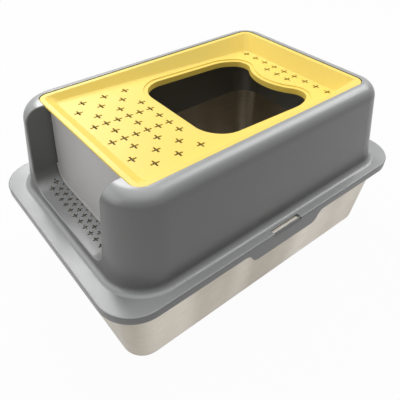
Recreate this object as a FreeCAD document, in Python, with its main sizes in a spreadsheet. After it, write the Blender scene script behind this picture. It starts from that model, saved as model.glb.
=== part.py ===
import FreeCAD, Part
import os
import re
import Sketcher

# Covered litter box in millimetres. Front entry faces -Y, +Z is up.
# The origin is on the floor under the middle of the box.

os.makedirs("parts", exist_ok=True)
doc = FreeCAD.newDocument("covered_litter_box")
dims = doc.addObject("Spreadsheet::Sheet", "dims")

SIZES = [
    # Overall
    ("box_length", 600.0, "flange length, front to back"),
    ("box_width", 402.6, "flange width"),
    ("box_height", 302.0, "floor to top of the hood"),
    # Steel pan and its pads
    ("pad_thick", 2.0, "anti-slip pad thickness"),
    ("pad_radius", 12.0, "anti-slip pad radius"),
    ("pad_inset", 42.0, "pad centre in from the edge of the pan floor"),
    ("sheet", 1.0, "steel sheet thickness"),
    ("pan_width", 344.4, "pan floor width"),
    ("pan_length", 541.8, "pan floor length"),
    ("pan_corner", 36.0, "pan corner radius"),
    ("pan_flare", 12.2, "how far each pan wall leans out up to the rim"),
    ("pan_base_radius", 8.0, "outside radius between floor and wall"),
    ("pan_hem", 6.0, "height of the turned-down rim hem"),
    ("rim_gap", 1.8, "gap between pan rim and hood skirt"),
    ("seat_gap", 0.3, "gap where one piece rests on another"),
    # Hood
    ("shell", 3.0, "moulded wall thickness"),
    ("skirt_bottom", 141.5, "height of the skirt's lower edge"),
    ("flange_top", 155.0, "height of the flange's upper face"),
    ("flange_corner", 58.0, "flange corner radius"),
    ("flange_edge", 2.0, "rounding of the flange's outer edge"),
    ("foot_side", 179.0, "side wall from the centre, at the flange"),
    ("foot_front", 269.5, "front wall from the centre, at the flange"),
    ("foot_back", 267.0, "back wall from the centre, at the flange"),
    ("lean_side", 13.4, "how far a side wall leans in up to the top"),
    ("lean_front", 17.4, "how far the front wall leans in"),
    ("lean_back", 22.0, "how far the back wall leans in"),
    ("corner_front", 62.0, "hood corner radius at the front"),
    ("corner_back", 48.0, "hood corner radius at the back"),
    ("foot_radius", 10.5, "rounding between wall and flange"),
    ("shoulder", 25.0, "rounding of the hood's top edge"),
    # Lid
    ("lid_width", 282.1, "lid width over the rim"),
    ("lid_length", 441.3, "lid length over the rim"),
    ("lid_corner", 18.0, "lid corner radius"),
    ("lid_sheet", 2.5, "lid wall thickness"),
    ("lid_below", 0.8, "lid rim below the top of the hood"),
    ("lid_gap", 0.75, "side gap around the lid rim"),
    ("lid_band", 8.0, "width of the flat lid rim"),
    ("lid_ledge", 6.8, "width of the ledge under the lid rim"),
    ("lid_depth", 17.3, "lid floor below the rim, half way along"),
    ("lid_fall", 0.0394, "slope of the lid floor towards the back"),
    ("tray_side", 0.86, "lean of the tray's side walls, run over drop"),
    ("tray_front", 1.475, "lean of the tray's front wall"),
    ("tray_back", 0.78, "lean of the tray's back wall"),
    ("tray_corner", 14.0, "tray corner radius"),
    ("tray_crease", 4.0, "rounding between tray wall and tray floor"),
    ("rim_round", 1.2, "rounding of the lid rim's edges"),
    # Opening in the lid
    ("hole_side", 100.0, "half width of the opening"),
    ("hole_front", 66.0, "front edge of the opening from the centre"),
    ("hole_corner", 46.0, "front corner radius of the opening"),
    ("hole_cheek", 75.0, "radius between a side of the opening and its rear lobe"),
    ("ear_radius", 24.0, "radius of the two rear lobes"),
    ("ear_x", 67.5, "centre of a rear lobe, across"),
    ("ear_y", 129.2, "centre of a rear lobe, along"),
    ("dip_y", 211.2, "centre of the dip between the lobes, along"),
    ("hole_skirt", 11.7, "collar's lower edge below the lid floor"),
    ("hole_round", 1.2, "rounding of the opening's upper edge"),
    ("ledge_width", 7.0, "width of the sunk ledge around the opening"),
    ("ledge_drop", 2.0, "ledge below the lid floor"),
    ("ledge_round", 0.8, "rounding of the edge above the ledge"),
    # Cross-shaped drain slots in the lid
    ("cross", 14.0, "arm length, end to end"),
    ("cross_stroke", 3.2, "arm width"),
    ("cross_x", 24.5, "pitch across"),
    ("cross_y", 18.9, "pitch along"),
    ("cross_first", 185.0, "first row from the centre, towards the front"),
    ("cross_last", 183.5, "last row from the centre, towards the back"),
    # Entry trough in the hood
    ("entry_half", 108.0, "half width of the entry"),
    ("sill", 168.0, "height of the entry floor"),
    ("entry_corner", 30.0, "corner radius of the entry floor"),
    ("entry_back", 190.0, "inner end of the entry from the centre"),
    ("entry_lip", 2.2, "rounding of the entry's outer edge"),
    ("sill_cross", 8.8, "arm length of the sill slots"),
    ("sill_stroke", 2.3, "arm width of the sill slots"),
    ("sill_x", 15.8, "pitch across of the sill slots"),
    ("sill_y", 10.9, "pitch along of the sill slots"),
    ("sill_first", 248.3, "first row from the centre"),
    # Swing flap
    ("flap_half", 106.4, "half width of the flap"),
    ("flap_thick", 3.0, "flap thickness"),
    ("flap_inset", 0.3, "flap face behind the front of its pivot barrel"),
    ("flap_clear", 1.2, "gap between the flap and the entry floor"),
    ("flap_corner", 28.4, "lower corner radius of the flap"),
    ("flap_lean", 5.18, "flap lean from upright, in degrees"),
    ("flap_lip", 2.0, "height and width of the lip along its lower edge"),
    ("axis_y", 211.0, "pivot axis in front of the centre"),
    ("axis_z", 288.5, "pivot axis above the floor"),
    ("barrel", 4.2, "radius of the pivot barrel"),
    ("pin", 3.0, "radius of the pivot pins"),
    ("pin_fit", 0.06, "radial play of the pivot pins"),
    ("boss", 6.0, "radius of the pivot bosses"),
    ("stop", 3.4, "how far the flap stops stand out"),
    ("stop_top", 45.0, "pivot axis to the upper end of the flap stops"),
    ("stop_end", 90.0, "pivot axis to the lower end of the flap stops"),
    # Side latch tabs
    ("tab_half", 70.0, "half length of a tab, to its sharp lower corner"),
    ("tab_drop", 20.0, "how far a tab hangs below the skirt"),
    ("tab_run", 8.0, "slant of a tab's ends"),
    ("tab_round", 15.5, "rounding at both ends of that slant"),
    ("slot_half", 30.0, "half length of the slot above a tab"),
    ("slot_width", 6.8, "width of that slot"),
    ("grip_depth", 2.0, "depth of the bevel outside that slot"),
    ("grip_height", 7.0, "height of the bevel outside that slot"),
]
for row, (alias, number, meaning) in enumerate(SIZES, start=1):
    dims.set("A%d" % row, meaning)
    dims.set("B%d" % row, str(number))
    dims.setAlias("B%d" % row, alias)
doc.recompute()

# Rows of drain slots in the entry floor, and slots in its first row
SILL_ROWS = 5
SILL_COUNT = 12

ALIASES = re.compile(r"\b(%s)\b" % "|".join(alias for alias, number, meaning in SIZES))


def cells(text):
    """Expression text with the sheet's name put before every size in it."""
    return ALIASES.sub(r"dims.\1", text)


def size(text):
    """Present value of an expression over the sheet."""
    return float(dims.evalExpression(cells(text)))


def point(x, y):
    return FreeCAD.Vector(size(x), size(y), 0)


def plane_of(body, role):
    """One of a body's own origin planes or axes."""
    return next(item for item in body.Origin.OriginFeatures if item.Role == role)


def new_body(name):
    body = doc.addObject("PartDesign::Body", name)
    body.Label = name
    return body


def new_sketch(body, name, role="XY_Plane", offset=None, tilt=None):
    """Sketch on an origin plane, moved along the plane's normal and tilted about X."""
    sketch = body.newObject("Sketcher::SketchObject", name)
    sketch.AttachmentSupport = [(plane_of(body, role), "")]
    sketch.MapMode = "FlatFace"
    if tilt:
        about_x = FreeCAD.Rotation(FreeCAD.Vector(1, 0, 0), -1)
        sketch.AttachmentOffset = FreeCAD.Placement(FreeCAD.Vector(), about_x)
        sketch.setExpression("AttachmentOffset.Rotation.Angle", cells(tilt))
    if offset:
        sketch.setExpression("AttachmentOffset.Base.z", cells(offset))
    return sketch


def bind(sketch, constraint, expression):
    """Add a dimension and tie it to the sheet."""
    index = sketch.addConstraint(constraint)
    sketch.setExpression("Constraints[%d]" % index, cells(expression))


def place(sketch, geometry, end, x, y):
    """Tie a point of a sketch to its coordinates."""
    bind(sketch, Sketcher.Constraint("DistanceX", -1, 1, geometry, end, size(x)), x)
    bind(sketch, Sketcher.Constraint("DistanceY", -1, 1, geometry, end, size(y)), y)


def outline(sketch, corners):
    """Straight-sided closed outline; each corner is a pair of expressions."""
    points = [point(x, y) for x, y in corners]
    count = len(points)
    first = sketch.GeometryCount
    for i in range(count):
        sketch.addGeometry(Part.LineSegment(points[i], points[(i + 1) % count]))
    for i in range(count):
        sketch.addConstraint(Sketcher.Constraint("Coincident", first + i, 2, first + (i + 1) % count, 1))
        place(sketch, first + i, 1, *corners[i])


def plus(sketch, x, y, arm, stroke):
    """Plus-shaped outline centred on x, y."""
    near = "%s / 2" % stroke
    far = "%s / 2" % arm
    quarter = [(far, near), (near, near), (near, far)]
    turns = [(1, 1, quarter), (-1, 1, quarter[::-1]), (-1, -1, quarter), (1, -1, quarter[::-1])]
    corners = [("%s + %d * %s" % (x, x_sign, a), "%s + %d * %s" % (y, y_sign, b))
               for x_sign, y_sign, steps in turns for a, b in steps]
    outline(sketch, corners)


def rounded(sketch, front, back, half, r_front, r_back):
    """Rectangle with rounded corners from front to back, the same to both sides of the Y axis."""
    names = [("-(%s)" % half, front), (half, front), (half, back), ("-(%s)" % half, back)]
    radii = [r_front, r_front, r_back, r_back]
    sharp = [point(x, y) for x, y in names]
    first = sketch.GeometryCount
    starts, ends, arcs = [], [], []
    for i in range(4):
        before = (sharp[i - 1] - sharp[i]).normalize()
        after = (sharp[(i + 1) % 4] - sharp[i]).normalize()
        r = size(radii[i])
        centre = sharp[i] + (before + after) * r
        bulge = centre - (before + after).normalize() * r
        ends.append(sharp[i] + before * r)
        starts.append(sharp[i] + after * r)
        arcs.append(Part.Arc(ends[i], bulge, starts[i]))
    for i in range(4):
        sketch.addGeometry(Part.LineSegment(starts[i], ends[(i + 1) % 4]))
    for arc in arcs:
        sketch.addGeometry(arc)
    for corner in sharp:
        sketch.addGeometry(Part.Point(corner), True)
    for i in range(4):
        line, line_before, arc, corner = first + i, first + (i - 1) % 4, first + 4 + i, first + 8 + i
        sketch.addConstraint(Sketcher.Constraint("Tangent", line_before, 2, arc, 1))
        sketch.addConstraint(Sketcher.Constraint("Tangent", arc, 2, line, 1))
        sketch.addConstraint(Sketcher.Constraint("PointOnObject", corner, 1, line))
        sketch.addConstraint(Sketcher.Constraint("PointOnObject", corner, 1, line_before))
        bind(sketch, Sketcher.Constraint("Radius", arc, size(radii[i])), radii[i])
        place(sketch, corner, 1, *names[i])


def rectangle(sketch, half, end, radius):
    """Rounded rectangle centred on the origin."""
    rounded(sketch, "-(%s)" % end, end, half, radius, radius)


def disc(sketch, radius, x=None, y=None):
    """Circle, centred on the origin unless x and y are given."""
    centre = point(x, y) if x else FreeCAD.Vector()
    index = sketch.addGeometry(Part.Circle(centre, FreeCAD.Vector(0, 0, 1), size(radius)))
    bind(sketch, Sketcher.Constraint("Radius", index, size(radius)), radius)
    if x:
        place(sketch, index, 3, x, y)
    else:
        sketch.addConstraint(Sketcher.Constraint("Coincident", index, 3, -1, 1))


def extrude(body, kind, name, sketch, length, reverse=False, both=False):
    """Pad or Pocket of a sketch; both means the length is shared by the two sides."""
    feature = body.newObject("PartDesign::" + kind, name)
    feature.Profile = sketch
    feature.SideType = "Symmetric" if both else "One side"
    feature.Reversed = reverse
    feature.setExpression("Length", cells(length))
    doc.recompute()
    return feature


def tapered(body, name, low, high, base, top):
    """Block with leaning sides between two heights.

    base and top give its half width and its front and back distances from the origin.
    """
    block = body.newObject("PartDesign::AdditiveWedge", name)
    block.Placement = FreeCAD.Placement(FreeCAD.Vector(), FreeCAD.Rotation(FreeCAD.Vector(1, 0, 0), 90))
    limits = {"Ymin": low, "Ymax": high}
    for mark, (half, front, back) in (("", base), ("2", top)):
        limits["X%smin" % mark] = "-(%s)" % half
        limits["X%smax" % mark] = half
        limits["Z%smin" % mark] = "-(%s)" % back
        limits["Z%smax" % mark] = front
    for limit, expression in limits.items():
        block.setExpression(limit, cells(expression))
    doc.recompute()
    return block


def round_edges(body, name, test, radius):
    """Round the edges of a body's newest shape that pass a test."""
    base = body.Tip
    chosen = ["Edge%d" % (i + 1) for i, edge in enumerate(base.Shape.Edges) if test(edge)]
    feature = body.newObject("PartDesign::Fillet", name)
    feature.Base = (base, chosen)
    feature.setExpression("Radius", cells(radius))
    doc.recompute()
    return feature


def level(z):
    """Test for an edge that lies flat at a height."""
    height = size(z)
    return lambda edge: abs(edge.BoundBox.ZMin - height) < 0.02 and abs(edge.BoundBox.ZMax - height) < 0.02


def corner_at(end):
    """Test for an edge that runs up a corner at the front (-1) or at the back (1)."""
    return lambda edge: edge.BoundBox.ZLength > 10 and edge.CenterOfMass.y * end > 0


def mirrored(body, name, originals):
    """The same features on the other side of the middle plane."""
    feature = body.newObject("PartDesign::Mirrored", name)
    feature.Originals = originals
    feature.MirrorPlane = (plane_of(body, "YZ_Plane"), [""])
    body.Tip = feature
    doc.recompute()
    return feature


def cross_row(body, name, high, depth, y, pitch, count, arm, stroke):
    """Row of plus-shaped slots across the body, centred on the middle plane and cut down from a height."""
    plan = new_sketch(body, name + "_plan", offset=high)
    plus(plan, "-%d * (%s) / 2" % (count - 1, pitch), y, arm, stroke)
    first = extrude(body, "Pocket", name + "_first", plan, depth)
    feature = body.newObject("PartDesign::LinearPattern", name)
    feature.Originals = [first]
    feature.Direction = (plane_of(body, "X_Axis"), [""])
    feature.Mode = "Spacing"
    feature.setExpression("Offset", cells(pitch))
    feature.Occurrences = count
    body.Tip = feature
    doc.recompute()


def take_out(body, name, tool):
    """Remove another body's shape."""
    feature = body.newObject("PartDesign::Boolean", name)
    feature.Type = "Cut"
    feature.setObjects([tool])
    doc.recompute()
    return feature


# Steel pan: drawn tub with a flat rim and a turned-down hem
PAN_TOP = "(flange_top - shell - seat_gap)"
RIM_HALF = "(box_width / 2 - shell - rim_gap)"
RIM_END = "(box_length / 2 - shell - rim_gap)"
RIM_CORNER = "(flange_corner - shell - rim_gap)"


def tub(name, inset):
    """Solid shape of the pan, inset from its outer face."""
    body = new_body(name)
    half = "pan_width / 2 - " + inset
    end = "pan_length / 2 - " + inset
    floor = "pad_thick + " + inset
    tapered(body, name + "_block", floor, PAN_TOP, (half, end, end),
            (half + " + pan_flare", end + " + pan_flare", end + " + pan_flare"))
    round_edges(body, name + "_corners", lambda edge: edge.BoundBox.ZLength > 10, "pan_corner - " + inset)
    round_edges(body, name + "_base", level(floor), "pan_base_radius - " + inset)
    return body


pan = tub("litter_pan", "0")
rim_plan = new_sketch(pan, "rim_plan", offset=PAN_TOP)
rectangle(rim_plan, RIM_HALF, RIM_END, RIM_CORNER)
extrude(pan, "Pad", "rim_plate", rim_plan, "sheet", reverse=True)
hem_plan = new_sketch(pan, "hem_plan", offset=PAN_TOP)
rectangle(hem_plan, RIM_HALF, RIM_END, RIM_CORNER)
rectangle(hem_plan, RIM_HALF + " - sheet", RIM_END + " - sheet", RIM_CORNER + " - sheet")
extrude(pan, "Pad", "rim_hem", hem_plan, "pan_hem", reverse=True)
take_out(pan, "pan_hollow", tub("pan_space", "sheet"))

# Anti-slip pads under the pan floor
PAD_X = "(pan_width / 2 - pad_inset)"
PAD_Y = "(pan_length / 2 - pad_inset)"
pads = []
for pad_name, x_sign, y_sign in (("pad_front_left", -1, -1), ("pad_front_right", 1, -1),
                                 ("pad_back_left", -1, 1), ("pad_back_right", 1, 1)):
    pad = new_body(pad_name)
    pad_plan = new_sketch(pad, pad_name + "_plan")
    disc(pad_plan, "pad_radius", "%d * %s" % (x_sign, PAD_X), "%d * %s" % (y_sign, PAD_Y))
    extrude(pad, "Pad", pad_name + "_disc", pad_plan, "pad_thick")
    pads.append(pad)

# Heights of the lid and of the seat under its rim
LID_TOP = "(box_height - lid_below)"
RIM_UNDER = "(%s - lid_sheet)" % LID_TOP
SEAT = "(%s - seat_gap)" % RIM_UNDER
CEILING = "(%s - shell)" % SEAT
LID_FLOOR = "(%s - lid_depth)" % LID_TOP


def hood_block(body, name, low, high, inset, round_top):
    """Solid shape of the hood's walls, inset from their outer face."""
    base = ["foot_%s - %s" % (side, inset) for side in ("side", "front", "back")]
    top = ["foot_%s - lean_%s - %s" % (side, side, inset) for side in ("side", "front", "back")]
    tapered(body, name, low, high, base, top)
    round_edges(body, name + "_front", corner_at(-1), "corner_front - " + inset)
    round_edges(body, name + "_back", corner_at(1), "corner_back - " + inset)
    round_edges(body, name + "_shoulder", level(high), round_top)


def trough(body, name, grow):
    """Cross-section of the entry: flat floor, rounded corners, open to the top."""
    section = new_sketch(body, name, "XZ_Plane", "entry_back")
    rounded(section, "sill - " + grow, "box_height + 20", "entry_half + " + grow,
            "entry_corner + " + grow, "1")
    return section


# Space inside the hood; the entry trough is left standing in it
space = new_body("hood_space")
hood_block(space, "space_walls", "flange_top - shell - 1", CEILING, "shell", "shoulder - shell - 2")
extrude(space, "Pocket", "space_entry", trough(space, "trough_outside", "shell"), "box_length", reverse=True)

# Hood: leaning walls with a rounded shoulder on a flange with a skirt
hood = new_body("enclosure")
hood_block(hood, "walls", "flange_top", "box_height", "0", "shoulder")
flange_plan = new_sketch(hood, "flange_plan", offset="skirt_bottom")
rectangle(flange_plan, "box_width / 2", "box_length / 2", "flange_corner")
extrude(hood, "Pad", "flange", flange_plan, "flange_top - skirt_bottom")
on_flange = level("flange_top")
foot_limit = {"x": size("foot_side + 8"), "y": size("foot_front + 8")}


def at_foot(edge):
    """Edges where the walls meet the flange."""
    box = edge.BoundBox
    inside = max(-box.XMin, box.XMax) < foot_limit["x"] and max(-box.YMin, box.YMax) < foot_limit["y"]
    return inside and on_flange(edge)


round_edges(hood, "foot_round", at_foot, "foot_radius")
round_edges(hood, "flange_round", on_flange, "flange_edge")

# Entry cut through the front wall, with a rounded outer edge
extrude(hood, "Pocket", "entry_way", trough(hood, "trough_inside", "0"), "box_length", reverse=True)
entry_limit = {"x": size("entry_half + 0.1"), "y": size("0.5 - lid_length / 2 - lid_gap")}


def on_entry_lip(edge):
    """Edges where the entry cuts the hood's outer skin."""
    box = edge.BoundBox
    return max(-box.XMin, box.XMax) < entry_limit["x"] and box.YMax < entry_limit["y"]


round_edges(hood, "entry_lip_round", on_entry_lip, "entry_lip")

# Inside of the skirt and of the hood
skirt_plan = new_sketch(hood, "skirt_plan", offset="skirt_bottom")
rectangle(skirt_plan, "box_width / 2 - shell", "box_length / 2 - shell", "flange_corner - shell")
extrude(hood, "Pocket", "skirt_space", skirt_plan, "flange_top - skirt_bottom - shell", reverse=True)
take_out(hood, "hollow", space)

# Seat for the lid and the way through the top
SEAT_HALF = "(lid_width / 2 + lid_gap)"
SEAT_END = "(lid_length / 2 + lid_gap)"
seat_plan = new_sketch(hood, "seat_plan", offset="box_height")
rectangle(seat_plan, SEAT_HALF, SEAT_END, "lid_corner + lid_gap")
extrude(hood, "Pocket", "lid_seat", seat_plan, "box_height - " + SEAT)
TOP_HALF = "(%s - lid_ledge)" % SEAT_HALF
TOP_END = "(%s - lid_ledge)" % SEAT_END
top_plan = new_sketch(hood, "top_plan", offset="box_height")
rectangle(top_plan, TOP_HALF, TOP_END, "lid_corner + lid_gap - lid_ledge")
extrude(hood, "Pocket", "top_way", top_plan, "box_height - %s + 1" % CEILING)

# Pivot bosses outside the trough's cheeks
boss_plan = new_sketch(hood, "boss_plan", "YZ_Plane", "entry_half + shell / 2")
disc(boss_plan, "boss", "-axis_y", "axis_z")
boss_pad = extrude(hood, "Pad", "pivot_boss", boss_plan, "shell * 1.5")
mirrored(hood, "pivot_bosses", [boss_pad])

# Room for the lid's front wall above the cheeks and bosses
TRAY_FRONT = "(lid_length / 2 - lid_band)"
UNDER_RUN = "(lid_sheet * sqrt(1 + tray_front ^ 2))"
UNDER_DROP = "(lid_depth - lid_fall * entry_back + lid_sheet)"
CHEEK_TOP = "(%s - %s - 1)" % (LID_TOP, UNDER_DROP)
cheek_plan = new_sketch(hood, "cheek_plan", "YZ_Plane")
outline(cheek_plan, [
    ("-" + TOP_END, "box_height + 1"),
    ("-" + TOP_END, RIM_UNDER + " - 1"),
    ("-%s - %s + tray_front * %s" % (TRAY_FRONT, UNDER_RUN, UNDER_DROP), CHEEK_TOP),
    ("-entry_back + 5", CHEEK_TOP),
    ("-entry_back + 5", "box_height + 1"),
])
extrude(hood, "Pocket", "cheek_room", cheek_plan, "2 * " + TOP_HALF, both=True)

# Bores for the flap's pivot pins
bore_plan = new_sketch(hood, "bore_plan", "YZ_Plane")
disc(bore_plan, "pin + pin_fit", "-axis_y", "axis_z")
extrude(hood, "Pocket", "pivot_bores", bore_plan, "2 * (entry_half + 3 * shell)", both=True)


def beside_flap(across, down):
    """Y and Z of a point given across and below the flap's pivot axis, in the leaning flap's directions."""
    y = "-axis_y + (%s) * cos(flap_lean) - (%s) * sin(flap_lean)" % (across, down)
    z = "axis_z - (%s) * sin(flap_lean) - (%s) * cos(flap_lean)" % (across, down)
    return y, z


# Stops behind the flap, one on each cheek
STOP_FACE = "flap_thick + flap_inset - barrel + seat_gap"
stop_plan = new_sketch(hood, "stop_plan", "YZ_Plane", "entry_half - stop")
outline(stop_plan, [
    beside_flap(STOP_FACE, "stop_top"),
    beside_flap(STOP_FACE, "stop_end"),
    beside_flap(STOP_FACE + " + stop", "stop_end"),
    beside_flap(STOP_FACE + " + stop", "stop_top"),
])
stop_pad = extrude(hood, "Pad", "flap_stop", stop_plan, "stop + shell / 2")
mirrored(hood, "flap_stops", [stop_pad])

# Latch tabs below the skirt, one in the middle of each long side
tab_plan = new_sketch(hood, "tab_plan", "YZ_Plane", "box_width / 2 - shell")
outline(tab_plan, [
    ("-tab_half", "skirt_bottom - tab_drop"),
    ("tab_half", "skirt_bottom - tab_drop"),
    ("tab_half + tab_run", "skirt_bottom"),
    ("tab_half + tab_run", "skirt_bottom + shell"),
    ("-tab_half - tab_run", "skirt_bottom + shell"),
    ("-tab_half - tab_run", "skirt_bottom"),
])
tab_pad = extrude(hood, "Pad", "latch_tab", tab_plan, "shell")
mirrored(hood, "latch_tabs", [tab_pad])
tab_reach = size("tab_half + tab_run + 1")


def on_tab_end(edge):
    """Short edges across the thickness of a tab, at the two ends of its slants."""
    box = edge.BoundBox
    short = box.YLength < 0.01 and box.ZLength < 0.01 and abs(box.XLength - size("shell")) < 0.01
    return short and abs(box.YMin) < tab_reach and box.ZMin < size("skirt_bottom") + 0.01


round_edges(hood, "latch_tab_round", on_tab_end, "tab_round")

# Slot in the flange above each tab, with a bevel outside it for a finger
SKIRT_IN = "(box_width / 2 - shell)"
slot_plan = new_sketch(hood, "slot_plan", offset="flange_top + 1")
outline(slot_plan, [
    (SKIRT_IN + " - slot_width", "-slot_half"),
    (SKIRT_IN, "-slot_half"),
    (SKIRT_IN, "slot_half"),
    (SKIRT_IN + " - slot_width", "slot_half"),
])
slot_cut = extrude(hood, "Pocket", "latch_slot", slot_plan, "shell + 2")
bevel_plan = new_sketch(hood, "bevel_plan", "XZ_Plane")
outline(bevel_plan, [
    ("box_width / 2 - grip_depth", "flange_top + 1"),
    ("box_width / 2 + 1", "flange_top + 1"),
    ("box_width / 2 + 1", "flange_top - grip_height"),
    ("box_width / 2", "flange_top - grip_height"),
    ("box_width / 2 - grip_depth", "flange_top - grip_depth"),
])
bevel_cut = extrude(hood, "Pocket", "latch_bevel", bevel_plan, "2 * slot_half", both=True)
mirrored(hood, "latch_slots", [slot_cut, bevel_cut])

# Cross-shaped drain slots in the entry floor, in staggered rows
for row in range(SILL_ROWS):
    cross_row(hood, "sill_row_%d" % (row + 1), "sill + entry_corner / 2", "entry_corner / 2 + shell + 2",
              "-sill_first + %d * sill_y" % row, "sill_x", SILL_COUNT + row % 2, "sill_cross", "sill_stroke")

# Swing flap, drawn upright about its pivot axis and then leaned
FLAP_DROP = "((axis_z - sill - flap_clear) / cos(flap_lean))"
FLAP_FACE = "(barrel - flap_inset)"
flap = new_body("front_flap")
panel_plan = new_sketch(flap, "panel_plan", "XZ_Plane", FLAP_FACE + " - flap_thick")
rounded(panel_plan, "-" + FLAP_DROP, "barrel / 4", "flap_half", "flap_corner", "1")
extrude(flap, "Pad", "panel", panel_plan, "flap_thick")
lip_plan = new_sketch(flap, "lip_plan", "XZ_Plane", FLAP_FACE + " - flap_thick / 2")
rounded(lip_plan, "-" + FLAP_DROP, "flap_corner + 2 - " + FLAP_DROP, "flap_half", "flap_corner", "1")
extrude(flap, "Pad", "lip_block", lip_plan, "flap_thick / 2 + flap_lip")
lip_inside = new_sketch(flap, "lip_inside", "XZ_Plane", FLAP_FACE)
rounded(lip_inside, "flap_lip - " + FLAP_DROP, "flap_corner + 5 - " + FLAP_DROP, "flap_half - flap_lip",
        "flap_corner - flap_lip", "1")
extrude(flap, "Pocket", "lip_room", lip_inside, "flap_lip + 1", reverse=True)
barrel_plan = new_sketch(flap, "barrel_plan", "YZ_Plane")
disc(barrel_plan, "barrel")
extrude(flap, "Pad", "pivot_barrel", barrel_plan, "2 * flap_half", both=True)
pin_plan = new_sketch(flap, "pin_plan", "YZ_Plane")
disc(pin_plan, "pin")
extrude(flap, "Pad", "pivot_pins", pin_plan, "2 * (entry_half + 1.8 * shell)", both=True)
flap.Placement = FreeCAD.Placement(FreeCAD.Vector(), FreeCAD.Rotation(FreeCAD.Vector(1, 0, 0), -1))
flap.setExpression("Placement.Base.y", cells("-axis_y"))
flap.setExpression("Placement.Base.z", cells("axis_z"))
flap.setExpression("Placement.Rotation.Angle", cells("-flap_lean"))

# Lid: shallow tray with a flat rim; its floor falls towards the back
TRAY_DEEP = "(3 * lid_depth)"
TRAY_SIDE = "(lid_width / 2 - lid_band)"


def tray(body, name, grow):
    """Solid shape of the tray, grown outwards and downwards from its inner face."""
    top, base = [], []
    for side, reach in (("side", TRAY_SIDE), ("front", TRAY_FRONT), ("back", TRAY_FRONT)):
        top.append("%s + %s * sqrt(1 + tray_%s ^ 2)" % (reach, grow, side))
        base.append("%s - tray_%s * %s" % (top[-1], side, TRAY_DEEP))
    tapered(body, name, "%s - %s" % (LID_TOP, TRAY_DEEP), LID_TOP, base, top)
    round_edges(body, name + "_corners", lambda edge: edge.BoundBox.ZLength > 10, "tray_corner + " + grow)
    floor = "%s - %s" % (LID_FLOOR, grow)
    depth = "%s - 2 * %s" % (LID_TOP, TRAY_DEEP)
    below = new_sketch(body, name + "_below", "YZ_Plane")
    outline(below, [
        ("-lid_length", floor + " + lid_fall * lid_length"),
        ("-lid_length", depth),
        ("lid_length", depth),
        ("lid_length", floor + " - lid_fall * lid_length"),
    ])
    extrude(body, "Pocket", name + "_floor", below, "2 * lid_width", both=True)
    round_edges(body, name + "_crease", on_slope(floor), "tray_crease + " + grow)


def on_slope(middle):
    """Test for an edge in a plane that falls like the lid floor and has a given height at the middle."""
    height, fall = size(middle), size("lid_fall")

    def test(edge):
        first, last = edge.FirstParameter, edge.LastParameter
        points = [edge.valueAt(first + share * (last - first)) for share in (0.0, 0.5, 1.0)]
        return all(abs(p.z + fall * p.y - height) < 0.02 for p in points)
    return test


def lobed(body, name, grow):
    """Plan of the lid's opening, grown outwards, on the sloping floor of the lid.

    It has rounded front corners, straight sides, two rear lobes and a dip between these.
    """
    corner = "hole_corner + " + grow
    cheek = "hole_cheek + " + grow
    lobe = "ear_radius + " + grow
    corner_x = "hole_side - hole_corner"
    corner_y = "hole_corner - hole_front"
    cheek_x = "hole_side - hole_cheek"
    cheek_y = "ear_y - sqrt((hole_cheek - ear_radius) ^ 2 - (ear_x - (%s)) ^ 2)" % cheek_x
    at_corner = point(corner_x, corner_y)
    at_cheek = point(cheek_x, cheek_y)
    at_lobe = point("ear_x", "ear_y")
    at_dip = point("0", "dip_y")
    to_lobe = (at_lobe - at_cheek).normalize()
    to_dip = (at_dip - at_lobe).normalize()
    across = FreeCAD.Vector(1, 0, 0)
    down = FreeCAD.Vector(0, -1, 0)

    def between(centre, radius, first, last):
        """Start, middle and end of an arc, given its centre and two directions from it."""
        middle = (first + last).normalize()
        return [centre + direction * size(radius) for direction in (first, middle, last)]

    right = between(at_corner, corner, down, across) + between(at_cheek, cheek, across, to_lobe)
    right += between(at_lobe, lobe, to_lobe, to_dip)
    left = [FreeCAD.Vector(-p.x, p.y, 0) for p in right]
    dip_low = at_dip + down * ((at_dip - at_lobe).Length - size(lobe))
    sketch = new_sketch(body, name, offset=LID_FLOOR, tilt="-atan(lid_fall)")
    sketch.addGeometry([
        Part.LineSegment(left[0], right[0]),
        Part.Arc(*right[0:3]),
        Part.LineSegment(right[2], right[3]),
        Part.Arc(*right[3:6]),
        Part.Arc(*right[6:9]),
        Part.Arc(left[8], dip_low, right[8]),
        Part.Arc(*left[8:5:-1]),
        Part.Arc(*left[5:2:-1]),
        Part.LineSegment(left[3], left[2]),
        Part.Arc(*left[2::-1]),
    ])
    # The pieces follow one another, but the dip runs the other way, from left to right
    joins = [(i, 2, i + 1, 1) for i in (0, 1, 2, 3, 6, 7, 8)] + [(4, 2, 5, 2), (5, 1, 6, 1), (9, 2, 0, 1)]
    for join in joins:
        sketch.addConstraint(Sketcher.Constraint("Tangent", *join))
    for sign, corner_arc, side_line, cheek_arc, lobe_arc in (("", 1, 2, 3, 4), ("-", 9, 8, 7, 6)):
        sketch.addConstraint(Sketcher.Constraint("Vertical", side_line))
        for arc, radius in ((corner_arc, corner), (cheek_arc, cheek), (lobe_arc, lobe)):
            bind(sketch, Sketcher.Constraint("Radius", arc, size(radius)), radius)
        place(sketch, corner_arc, 3, "%s(%s)" % (sign, corner_x), corner_y)
        place(sketch, lobe_arc, 3, sign + "ear_x", "ear_y")
    bind(sketch, Sketcher.Constraint("DistanceY", -1, 1, 5, 3, at_dip.y), "dip_y")
    return sketch


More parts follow.
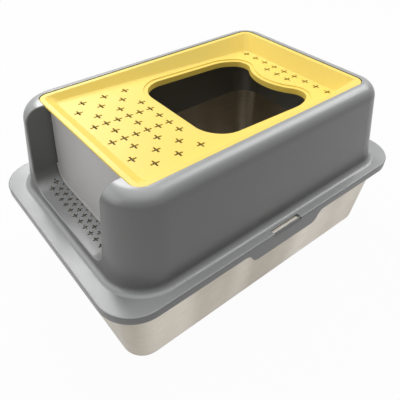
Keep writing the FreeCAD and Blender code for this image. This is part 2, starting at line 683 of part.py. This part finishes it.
def around_opening(middle, grow):
    """Test for an edge around the lid's opening, on a sloping plane, with nothing standing beside it."""
    on_plane = on_slope(middle)
    side = size("hole_side + 1 + " + grow)
    front = size("hole_front + 1 + " + grow)
    back = size("ear_y + ear_radius + 1 + " + grow)
    shape = lid.Tip.Shape
    beside = [FreeCAD.Vector(x, y, 0.3) for x, y in ((0.3, 0), (-0.3, 0), (0, 0.3), (0, -0.3))]

    def test(edge):
        box = edge.BoundBox
        inside = max(-box.XMin, box.XMax) < side and box.YMin > -front and box.YMax < back
        if not (inside and on_plane(edge)):
            return False
        half_way = edge.valueAt((edge.FirstParameter + edge.LastParameter) / 2)
        return not any(shape.isInside(half_way + step, 0.01, True) for step in beside)
    return test


# Height of the sunk ledge around the opening, half way along the lid
LEDGE = "(%s - ledge_drop * sqrt(1 + lid_fall ^ 2))" % LID_FLOOR

tray_space = new_body("tray_space")
tray(tray_space, "tray_inside", "0")
lid = new_body("lid")
tray(lid, "tray_outside", "lid_sheet")
lid_rim_plan = new_sketch(lid, "lid_rim_plan", offset=RIM_UNDER)
rectangle(lid_rim_plan, "lid_width / 2", "lid_length / 2", "lid_corner")
extrude(lid, "Pad", "lid_rim", lid_rim_plan, "lid_sheet")
extrude(lid, "Pad", "ledge", lobed(lid, "ledge_outside", "ledge_width + lid_sheet"), "ledge_drop + lid_sheet",
        reverse=True)
extrude(lid, "Pad", "collar", lobed(lid, "collar_plan", "lid_sheet"), "hole_skirt", reverse=True)
take_out(lid, "tray_hollow", tray_space)
extrude(lid, "Pocket", "ledge_room", lobed(lid, "ledge_plan", "ledge_width"), "ledge_drop")
extrude(lid, "Pocket", "opening", lobed(lid, "opening_plan", "0"), "2 * (hole_skirt + lid_depth)", both=True)
round_edges(lid, "ledge_edge", around_opening(LID_FLOOR, "ledge_width"), "ledge_round")
round_edges(lid, "opening_round", around_opening(LEDGE, "0"), "hole_round")
round_edges(lid, "lid_rim_round", level(LID_TOP), "rim_round")

# Cross-shaped drain slots in the lid floor
LID_ROWS = (
    [("-cross_first + %d * cross_y" % row, "2 * cross_x", 4) for row in (0, 2, 4)]
    + [("-cross_first + %d * cross_y" % row, "2 * cross_x", count) for row in (1, 3, 5) for count in (2, 5)]
    + [("cross_last - cross_y", "cross_x", 3), ("cross_last", "cross_x", 9)]
)
for number, (row_y, pitch, count) in enumerate(LID_ROWS, start=1):
    cross_row(lid, "lid_row_%d" % number, LID_TOP, "lid_depth + lid_fall * lid_length / 2 + 2 * lid_sheet",
              row_y, pitch, count, "cross", "cross_stroke")

# Every feature must be sound before the pieces are written
doc.recompute()
for item in doc.Objects:
    if "Invalid" in item.State or "Error" in item.State:
        raise RuntimeError("%s failed" % item.Label)
for body in [pan] + pads + [hood, lid, flap]:
    shape = body.Shape
    if shape.isNull() or not shape.isValid() or len(shape.Solids) != 1:
        raise RuntimeError("%s is not one sound solid" % body.Label)
    shape.exportStep("parts/%s.step" % body.Label)
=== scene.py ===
import math

import bpy
from mathutils import Matrix, Vector

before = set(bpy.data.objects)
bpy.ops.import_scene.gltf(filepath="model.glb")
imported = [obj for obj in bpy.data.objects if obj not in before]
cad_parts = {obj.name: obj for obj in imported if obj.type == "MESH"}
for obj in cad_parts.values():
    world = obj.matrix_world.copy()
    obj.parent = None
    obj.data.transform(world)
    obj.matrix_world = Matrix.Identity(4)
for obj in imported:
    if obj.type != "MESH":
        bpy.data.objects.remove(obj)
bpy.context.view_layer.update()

# Covered litter box: materials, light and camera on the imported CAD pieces. Lengths are in metres.

# Camera of the photograph: angles in degrees
CAMERA_AZIMUTH = 50.637
CAMERA_ELEVATION = 41.697
CAMERA_ROLL = 0.502
CAMERA_FIELD = 49.555
CAMERA_PLACE = Vector((0.4780, -0.4030, 0.6239))

# Moulded plastics: sRGB colours of the darker and the lighter body and of rubbed edges and painted light on
# top faces, roughness, refractive index, and the share of painted light on faces that look up
PLASTICS = {
    "grey_plastic": {
        "dark": (96, 97, 95), "light": (100, 101, 99), "wear_and_top_light": (160, 161, 161),
        "rough": 0.3, "index": 1.75, "painted_top_light": 0.8,
    },
    "light_grey_plastic": {
        "dark": (188, 186, 185), "light": (193, 191, 190), "wear_and_top_light": (208, 207, 205),
        "rough": 0.36, "index": 1.5, "painted_top_light": 0.2,
    },
    "yellow_plastic": {
        "dark": (238, 208, 94), "light": (241, 213, 100), "wear_and_top_light": (248, 226, 134),
        "rough": 0.42, "index": 1.42, "painted_top_light": 0.15,
    },
}
# Width of the rubbed edges, depths of the waves and the grain, and how far the roughness goes down and up
EDGE_RADIUS = 0.0012
PLASTIC_WAVE_DEPTH = 0.00003
PLASTIC_GRAIN_DEPTH = 0.00001
SMOOTHER = 0.02
ROUGHER = 0.03

# Steel: sRGB colours of the brush lines, of the darker streaks of painted reflection and of pale smudges
STEEL_DARK = (206, 198, 184)
STEEL_LIGHT = (238, 232, 222)
STEEL_REFLECTION_STREAK = (160, 151, 136)
STEEL_SMUDGE = (236, 229, 214)
# How far the fine lines, the long lines and the painted reflection streaks are drawn out: the smaller, the
# longer
FINE_DRAW = 0.012
LONG_DRAW = 0.01
REFLECTION_STREAK_DRAW = 0.08
STEEL_WAVE_DEPTH = 0.0006
STEEL_LINE_DEPTH = 0.00003

# Rubber: sRGB colours and the depth of its grain
RUBBER_DARK = (26, 26, 27)
RUBBER_LIGHT = (44, 44, 44)
RUBBER_GRAIN_DEPTH = 0.0002

# Material of each piece; the pads, which aren't listed, are rubber
PIECE_MATERIALS = {
    "litter_pan": "steel",
    "enclosure": "grey_plastic",
    "lid": "yellow_plastic",
    "front_flap": "light_grey_plastic",
}

# World: faint light from all sides, and the share of white that shows in reflections
AMBIENT = 0.2
AMBIENT_COLOUR = (0.96, 0.98, 1.0, 1.0)
WHITE = (1, 1, 1, 1)
WORLD_GLOSS = 0.75

# Floor: half its width, its paint, the share of white glow that the camera sees, and reflections' part of that
FLOOR_HALF = 6.0
FLOOR_COLOUR = (0.6, 0.6, 0.6, 1)
FLOOR_ROUGHNESS = 0.9
FLOOR_GLOW = 0.96
FLOOR_GLOSS = 0.8

# Soft lamps around the object: name, direction from the target, width, height, and power in watts
LAMP_TARGET = Vector((0, 0, 0.2))
LAMP_DISTANCE = 2.2
LAMPS = [
    ("back", (0.03, 0.66, 0.75), 1.0, 1.6, 19),
    ("left", (-0.69, 0.16, 0.70), 0.7, 1.45, 23),
    ("front", (-0.35, -0.80, 0.48), 2.4, 1.6, 17),
    ("top", (0.14, -0.10, 0.98), 2.4, 2.4, 20),
]


def linear(colour):
    """Shader colour of an sRGB colour with values up to 255."""
    def channel(value):
        share = value / 255
        return share / 12.92 if share <= 0.04045 else ((share + 0.055) / 1.055) ** 2.4
    red, green, blue = colour
    return channel(red), channel(green), channel(blue), 1.0


class Surface:
    """A Principled material that is built up node by node, in each piece's own coordinates."""

    def __init__(self, name):
        self.material = bpy.data.materials.new(name)
        self.material.use_nodes = True
        self.tree = self.material.node_tree
        self.shader = self.tree.nodes["Principled BSDF"]
        coordinates = self.node("ShaderNodeTexCoord")
        self.place = coordinates.outputs["Object"]
        self.normal = coordinates.outputs["Normal"]

    def node(self, kind, **settings):
        """New node with its settings."""
        made = self.tree.nodes.new(kind)
        for name, value in settings.items():
            setattr(made, name, value)
        return made

    def join(self, output, socket):
        """Link an output to an input socket."""
        self.tree.links.new(output, socket)

    def set(self, **values):
        """Constant values on the shader's own sockets."""
        for name, value in values.items():
            self.shader.inputs[name].default_value = value

    def noise(self, per_metre, detail, stretch=(1, 1, 1)):
        """Noise with so many features per metre, drawn out along an axis where its stretch is small."""
        mapping = self.node("ShaderNodeMapping")
        mapping.inputs["Scale"].default_value = stretch
        self.join(self.place, mapping.inputs["Vector"])
        made = self.node("ShaderNodeTexNoise")
        made.inputs["Scale"].default_value = per_metre
        made.inputs["Detail"].default_value = detail
        self.join(mapping.outputs["Vector"], made.inputs["Vector"])
        return made.outputs["Fac"]

    def spread(self, factor, low, high, start=0.3, end=0.7):
        """Number that goes from low to high as a factor goes from start to end."""
        made = self.node("ShaderNodeMapRange")
        made.inputs["From Min"].default_value = start
        made.inputs["From Max"].default_value = end
        made.inputs["To Min"].default_value = low
        made.inputs["To Max"].default_value = high
        self.join(factor, made.inputs["Value"])
        return made.outputs["Result"]

    def blend(self, factor, first, second):
        """Mix of two colours; either may be an sRGB colour or another node's output."""
        made = self.node("ShaderNodeMix", data_type="RGBA")
        self.join(factor, made.inputs["Factor"])
        for socket, colour in ((made.inputs["A"], first), (made.inputs["B"], second)):
            if isinstance(colour, tuple):
                socket.default_value = linear(colour)
            else:
                self.join(colour, socket)
        return made.outputs["Result"]

    def colour(self, output):
        """Use an output as the base colour."""
        self.join(output, self.shader.inputs["Base Color"])

    def roughness(self, output):
        """Use an output as the roughness."""
        self.join(output, self.shader.inputs["Roughness"])

    def bumps(self, *layers):
        """Bump from pairs of a height and its depth in metres, one on top of the other."""
        below = None
        for height, depth in layers:
            made = self.node("ShaderNodeBump")
            made.inputs["Distance"].default_value = depth
            self.join(height, made.inputs["Height"])
            if below:
                self.join(below, made.inputs["Normal"])
            below = made.outputs["Normal"]
        self.join(below, self.shader.inputs["Normal"])

    def facing_up(self, share):
        """Factor that rises to a share on the piece's faces that look up, and is 0 elsewhere."""
        parts = self.node("ShaderNodeSeparateXYZ")
        self.join(self.normal, parts.inputs["Vector"])
        return self.spread(parts.outputs["Z"], low=0.0, high=share, start=0.4, end=0.98)

    def edges(self, radius):
        """Factor that is 1 along sharp edges, within a radius, and 0 elsewhere."""
        bevel = self.node("ShaderNodeBevel", samples=4)
        bevel.inputs["Radius"].default_value = radius
        geometry = self.node("ShaderNodeNewGeometry")
        turn = self.node("ShaderNodeVectorMath", operation="DOT_PRODUCT")
        self.join(bevel.outputs["Normal"], turn.inputs[0])
        self.join(geometry.outputs["Normal"], turn.inputs[1])
        return self.spread(turn.outputs["Value"], low=1.0, high=0.0, start=0.82, end=0.98)


def moulded(name, dark, light, wear_and_top_light, rough, index, painted_top_light):
    """Moulded plastic: slow flow shading, fine grain, specks, painted light on faces that look up and paler
    rubbed edges.
    """
    surface = Surface(name)
    flow = surface.noise(per_metre=6, detail=1)
    specks = surface.noise(per_metre=900, detail=1)
    body = surface.blend(surface.spread(flow, low=0, high=1), dark, light)
    speckled = surface.blend(surface.spread(specks, low=0, high=0.25, start=0.55, end=0.8), body, light)
    # Painted light: faces that look up are blended towards the pale colour of the rubbed edges
    top_lit = surface.blend(surface.facing_up(painted_top_light), speckled, wear_and_top_light)
    surface.colour(surface.blend(surface.edges(EDGE_RADIUS), top_lit, wear_and_top_light))
    patches = surface.noise(per_metre=40, detail=4)
    surface.roughness(surface.spread(patches, low=rough - SMOOTHER, high=rough + ROUGHER))
    waves = surface.noise(per_metre=22, detail=2)
    grain = surface.noise(per_metre=2600, detail=2)
    surface.bumps((waves, PLASTIC_WAVE_DEPTH), (grain, PLASTIC_GRAIN_DEPTH))
    surface.set(IOR=index)
    return surface.material


def brushed_steel(name):
    """Satin sheet steel with brush lines, upright streaks of painted reflection on the walls and faint
    smudges.
    """
    surface = Surface(name)
    floor = surface.facing_up(1.0)

    def brushed(per_metre, detail, draw):
        """Brush lines that run level around the walls and along the floor."""
        on_walls = surface.noise(per_metre, detail, (draw, draw, 1))
        on_floor = surface.noise(per_metre, detail, (1, draw, 1))
        return surface.blend(floor, on_walls, on_floor)

    lines = brushed(per_metre=2400, detail=3, draw=FINE_DRAW)
    long_lines = brushed(per_metre=500, detail=2, draw=LONG_DRAW)
    # Painted reflection: darker upright streaks on the walls only, in place of banded reflections
    reflection_streaks = surface.noise(per_metre=9, detail=1, stretch=(1, 1, REFLECTION_STREAK_DRAW))
    smudges = surface.noise(per_metre=26, detail=3)
    body = surface.blend(surface.spread(lines, low=0, high=1), STEEL_DARK, STEEL_LIGHT)
    reflection_streak_share = surface.spread(reflection_streaks, low=0, high=0.7, start=0.36, end=0.66)
    reflection_streaked = surface.blend(reflection_streak_share, body, STEEL_REFLECTION_STREAK)
    walls_reflection_streaked = surface.blend(floor, reflection_streaked, body)
    smudge_share = surface.spread(smudges, low=0, high=0.12, start=0.45, end=0.75)
    surface.colour(surface.blend(smudge_share, walls_reflection_streaked, STEEL_SMUDGE))
    surface.roughness(surface.spread(long_lines, low=0.28, high=0.44))
    waves = surface.noise(per_metre=7, detail=2)
    surface.bumps((waves, STEEL_WAVE_DEPTH), (lines, STEEL_LINE_DEPTH))
    surface.set(Metallic=1.0)
    return surface.material


def rubber(name):
    """Dull black rubber with a coarse grain."""
    surface = Surface(name)
    grain = surface.noise(per_metre=700, detail=3)
    surface.colour(surface.blend(surface.spread(grain, low=0, high=1), RUBBER_DARK, RUBBER_LIGHT))
    patches = surface.noise(per_metre=120, detail=2)
    surface.roughness(surface.spread(patches, low=0.7, high=0.9))
    surface.bumps((grain, RUBBER_GRAIN_DEPTH))
    return surface.material


def dress():
    """Put the materials on the CAD pieces."""
    made = {name: moulded(name, **values) for name, values in PLASTICS.items()}
    made["steel"] = brushed_steel("steel")
    made["rubber"] = rubber("rubber")
    for name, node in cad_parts.items():
        node.data.materials.clear()
        node.data.materials.append(made[PIECE_MATERIALS.get(name, "rubber")])


def make_camera():
    """Camera at the photograph's place and angle."""
    azimuth = math.radians(CAMERA_AZIMUTH)
    elevation = math.radians(CAMERA_ELEVATION)
    level = math.cos(elevation)
    back = Vector((math.sin(azimuth) * level, -math.cos(azimuth) * level, math.sin(elevation)))
    right = Vector((math.cos(azimuth), math.sin(azimuth), 0))
    up = back.cross(right)
    roll = Matrix.Rotation(math.radians(CAMERA_ROLL), 4, "Z")
    turn = Matrix((right, up, back)).transposed().to_4x4() @ roll
    data = bpy.data.cameras.new("camera")
    data.sensor_fit = "HORIZONTAL"
    data.angle = math.radians(CAMERA_FIELD)
    camera = bpy.data.objects.new("camera", data)
    camera.matrix_world = Matrix.Translation(CAMERA_PLACE) @ turn
    bpy.context.collection.objects.link(camera)
    bpy.context.scene.camera = camera


def scaled(tree, output, share):
    """An output times a share."""
    product = tree.nodes.new("ShaderNodeMath")
    product.operation = "MULTIPLY"
    product.inputs[1].default_value = share
    tree.links.new(output, product.inputs[0])
    return product.outputs["Value"]


def background_factor(tree, gloss_share):
    """Factor that is 1 for camera and transmitted rays, a share for glossy rays, and 0 for the rest."""
    path = tree.nodes.new("ShaderNodeLightPath")
    total = scaled(tree, path.outputs["Is Glossy Ray"], gloss_share)
    for name in ("Is Camera Ray", "Is Transmission Ray"):
        most = tree.nodes.new("ShaderNodeMath")
        most.operation = "MAXIMUM"
        tree.links.new(total, most.inputs[0])
        tree.links.new(path.outputs[name], most.inputs[1])
        total = most.outputs["Value"]
    return total


def mix_shaders(tree, factor, first, second, end):
    """Join a mix of two shaders to the surface of an output node."""
    mix = tree.nodes.new("ShaderNodeMixShader")
    tree.links.new(factor, mix.inputs["Fac"])
    tree.links.new(first, mix.inputs[1])
    tree.links.new(second, mix.inputs[2])
    tree.links.new(mix.outputs["Shader"], tree.nodes[end].inputs["Surface"])


def make_world():
    """World that lights faintly and shows white to the camera."""
    scene = bpy.context.scene
    scene.view_settings.view_transform = "Standard"
    world = bpy.data.worlds.new("studio")
    scene.world = world
    world.use_nodes = True
    tree = world.node_tree
    ambient = tree.nodes["Background"]
    ambient.inputs["Color"].default_value = AMBIENT_COLOUR
    ambient.inputs["Strength"].default_value = AMBIENT
    white = tree.nodes.new("ShaderNodeBackground")
    white.inputs["Color"].default_value = WHITE
    factor = background_factor(tree, WORLD_GLOSS)
    mix_shaders(tree, factor, ambient.outputs["Background"], white.outputs["Background"], "World Output")


def make_floor():
    """Pale floor that glows nearly white to the camera and keeps a faint shadow."""
    mesh = bpy.data.meshes.new("floor")
    corners = [(-FLOOR_HALF, -FLOOR_HALF, 0), (FLOOR_HALF, -FLOOR_HALF, 0),
               (FLOOR_HALF, FLOOR_HALF, 0), (-FLOOR_HALF, FLOOR_HALF, 0)]
    mesh.from_pydata(corners, [], [(0, 1, 2, 3)])
    floor = bpy.data.objects.new("floor", mesh)
    bpy.context.collection.objects.link(floor)
    paint = bpy.data.materials.new("floor")
    paint.use_nodes = True
    tree = paint.node_tree
    diffuse = tree.nodes["Principled BSDF"]
    diffuse.inputs["Base Color"].default_value = FLOOR_COLOUR
    diffuse.inputs["Roughness"].default_value = FLOOR_ROUGHNESS
    glow = tree.nodes.new("ShaderNodeEmission")
    factor = scaled(tree, background_factor(tree, FLOOR_GLOSS), FLOOR_GLOW)
    mix_shaders(tree, factor, diffuse.outputs["BSDF"], glow.outputs["Emission"], "Material Output")
    mesh.materials.append(paint)


def make_lamps():
    """Soft rectangular lamps that face the target, with their widths level."""
    for name, direction, width, height, power in LAMPS:
        data = bpy.data.lights.new(name, "AREA")
        data.shape = "RECTANGLE"
        data.size = width
        data.size_y = height
        data.energy = power
        lamp = bpy.data.objects.new(name, data)
        lamp.location = LAMP_TARGET + LAMP_DISTANCE * Vector(direction).normalized()
        lamp.rotation_euler = (LAMP_TARGET - lamp.location).to_track_quat("-Z", "Y").to_euler()
        bpy.context.collection.objects.link(lamp)


dress()
make_world()
make_floor()
make_lamps()
make_camera()
